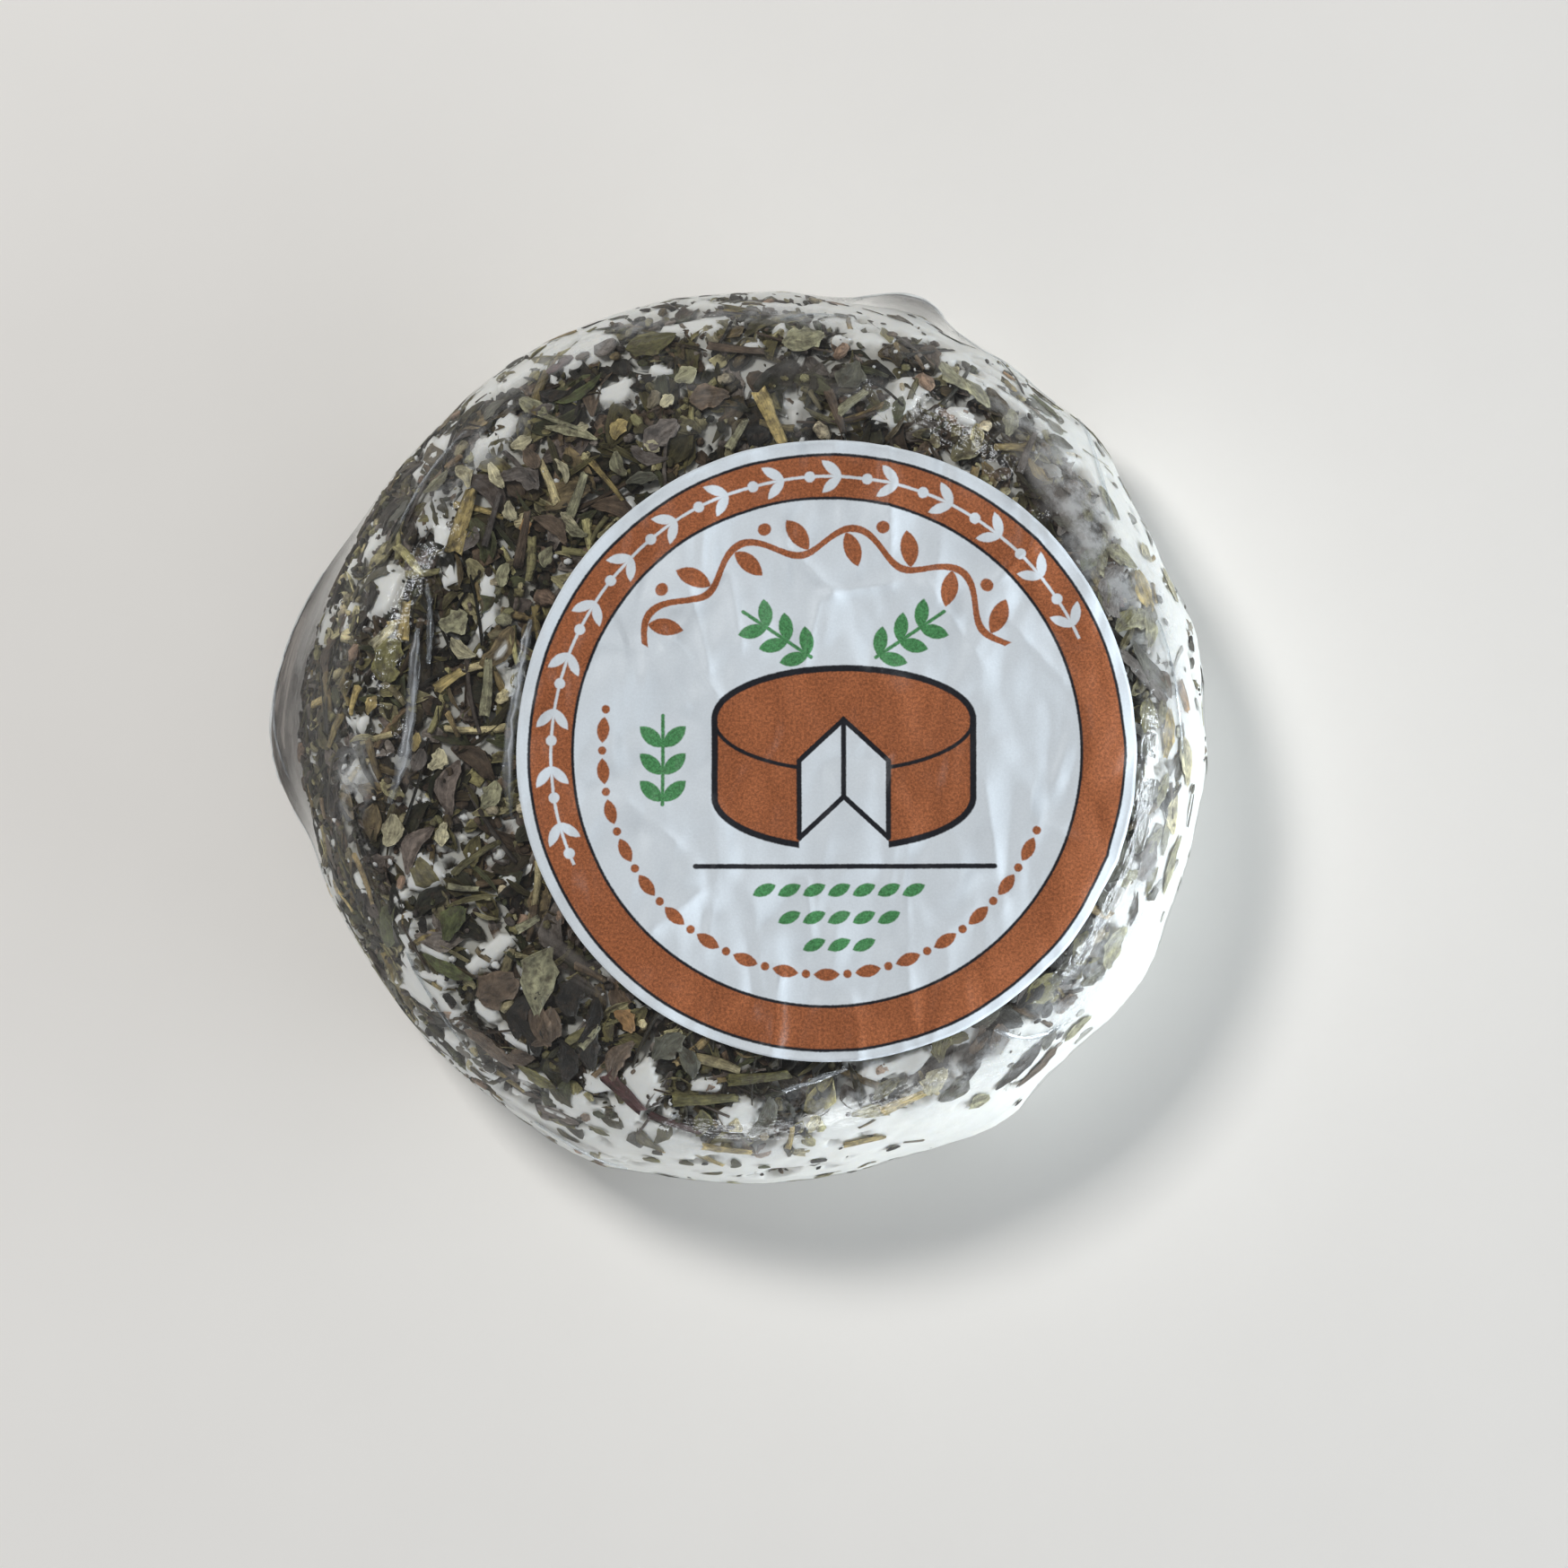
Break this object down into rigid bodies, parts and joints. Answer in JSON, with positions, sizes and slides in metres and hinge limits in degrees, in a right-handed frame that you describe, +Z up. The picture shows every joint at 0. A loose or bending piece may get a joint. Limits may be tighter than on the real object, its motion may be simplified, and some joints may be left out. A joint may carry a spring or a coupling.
{
  "type": "herb-coated fresh goat cheese",
  "caption": "Small flat round of fresh goat cheese, coated in crushed dried herbs, wrapped tight in clear film and closed with a round paper label stuck off the middle of its top.",
  "frame": {"origin": "under the middle of the outline, on the surface that the round lies on", "axes": "+Z up through the round's thickness, +Y towards the top of the picture, +X to its right"},
  "size_m": [0.0786, 0.0748, 0.0275],
  "materials": {
    "herb_coat": "crushed dried herbs pressed into moist white curd, under clear film",
    "curd": "moist, fine-grained fresh curd, soft satin",
    "herb_leaf": "dry, curled, matt leaf flakes from olive to black green",
    "herb_stalk": "dry straw-coloured stalks and chips",
    "film": "thin clear cling film, glossy, with fine creases",
    "label_paper": "semi-gloss printed paper, softly wrinkled"
  },
  "bodies": {
    "root": {"wrapped_cheese": "herb_coat", "label": "label_paper"}
  },
  "joints": []
}
